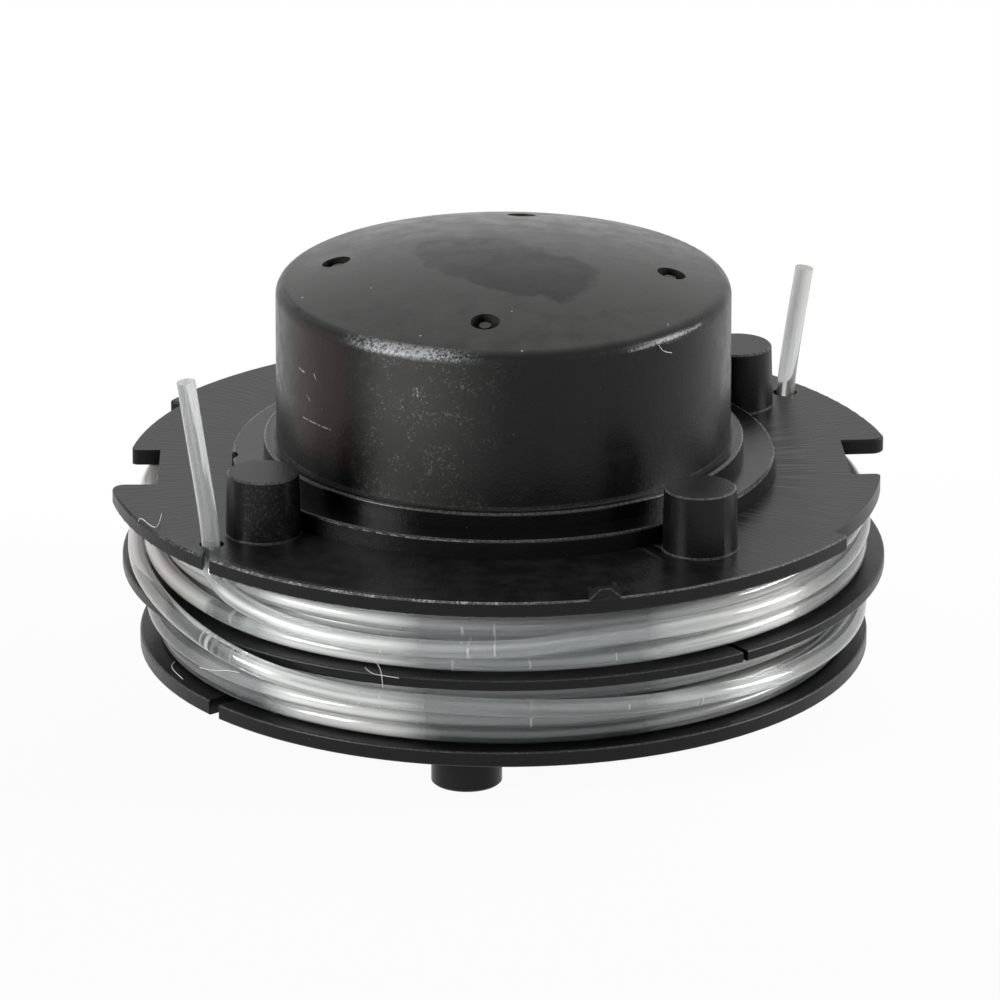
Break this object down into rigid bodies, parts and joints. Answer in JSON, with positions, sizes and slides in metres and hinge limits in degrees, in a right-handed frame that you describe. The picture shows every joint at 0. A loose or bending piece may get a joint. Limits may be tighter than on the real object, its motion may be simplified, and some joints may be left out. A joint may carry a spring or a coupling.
{
  "type": "trimmer line spool",
  "caption": "Moulded feed spool for a grass trimmer head: domed bump knob, stacked flanges with drive pegs, and clear nylon line wound in its chambers, cut ends standing up through slots.",
  "frame": {"origin": "on the spool's axis, in the plane of the lower pegs' ends that it stands on", "axes": "+Z along the axis towards the knob; +X towards the wide notch beside the standing end of the lower line"},
  "size_m": [0.0663, 0.0678, 0.0385],
  "materials": {
    "black_plastic": "satin moulded",
    "clear_nylon": "clear extruded"
  },
  "bodies": {
    "root": {"spool_body": "black_plastic", "upper_winding": "clear_nylon", "lower_winding": "clear_nylon", "upper_line_end": "clear_nylon", "lower_line_end": "clear_nylon"}
  },
  "joints": []
}
